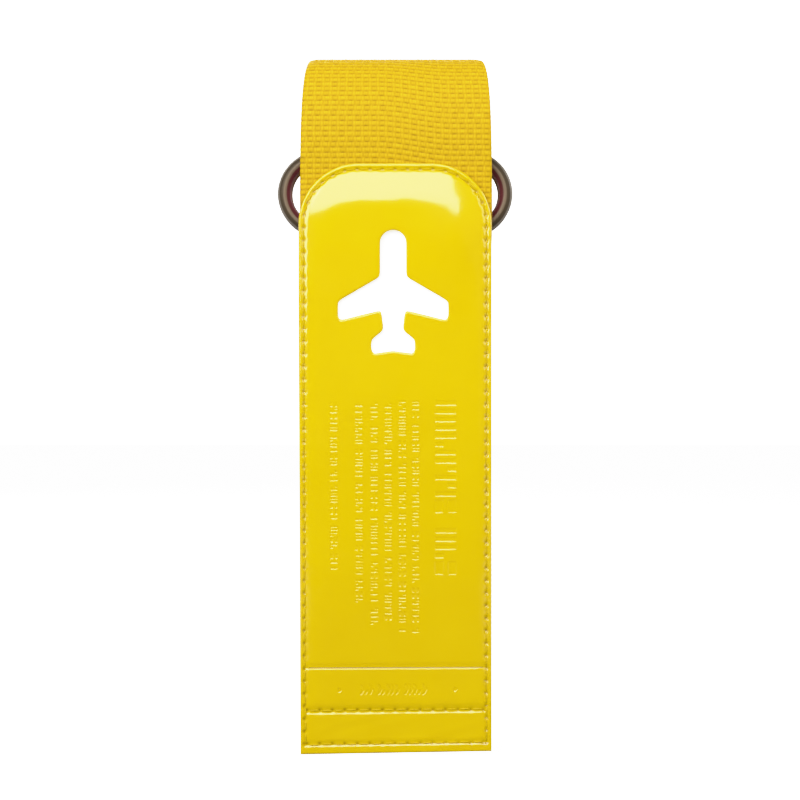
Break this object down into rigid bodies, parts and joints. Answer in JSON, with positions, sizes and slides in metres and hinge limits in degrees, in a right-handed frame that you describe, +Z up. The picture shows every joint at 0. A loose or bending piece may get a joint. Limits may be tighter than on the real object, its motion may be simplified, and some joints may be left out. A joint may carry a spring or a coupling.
{
  "type": "luggage tag",
  "caption": "Glossy yellow luggage tag stitched over a folded 50 mm webbing belt, with an aeroplane opening, a name card and oval gunmetal rings.",
  "frame": {"origin": "under the middle of the pack, level with the tag's lower edge", "axes": "+X across the belt to the right, +Y from the tag's face to the back of the folded belt, +Z up the tag"},
  "size_m": [0.0622, 0.032, 0.184],
  "materials": {
    "sheet": "gloss",
    "webbing": "woven",
    "card": "matte",
    "ring": "polished gunmetal",
    "thread": "twisted thread"
  },
  "bodies": {
    "belt": {"belt_bundle": "webbing", "hem_thread": "thread"},
    "tag": {"front_sheet": "sheet", "back_sheet": "sheet", "belt_front": "webbing", "ring_keeper": "webbing", "edge_thread_front": "thread", "edge_thread_back": "thread", "seam_thread_front": "thread", "seam_thread_back": "thread", "keeper_thread": "thread"},
    "card": {"name_card": "card"},
    "front_ring": {"ring_front": "ring"},
    "back_ring": {"ring_back": "ring"}
  },
  "joints": [
    {"name": "tag_lift", "type": "hinge", "parent": "belt", "child": "tag", "pos_m": [0.00035, -0.0141, 0.156], "axis": [-1, 0, 0], "range_deg": [0, 95]},
    {"name": "card_slide", "type": "slide", "parent": "tag", "child": "card", "axis": [0, 0, 1], "range_m": [0, 0.0113]},
    {"name": "back_ring_swing", "type": "hinge", "parent": "tag", "child": "back_ring", "pos_m": [0, -0.0053, 0.1375], "axis": [-1, 0, 0], "range_deg": [0, 60]},
    {"name": "front_ring_swing", "type": "hinge", "parent": "tag", "child": "front_ring", "pos_m": [0, -0.00915, 0.1375], "axis": [-1, 0, 0], "range_deg": [0, 30]}
  ],
  "couplings": [
    {"joint": "front_ring_swing", "follows": "back_ring_swing", "ratio": 0.5}
  ]
}
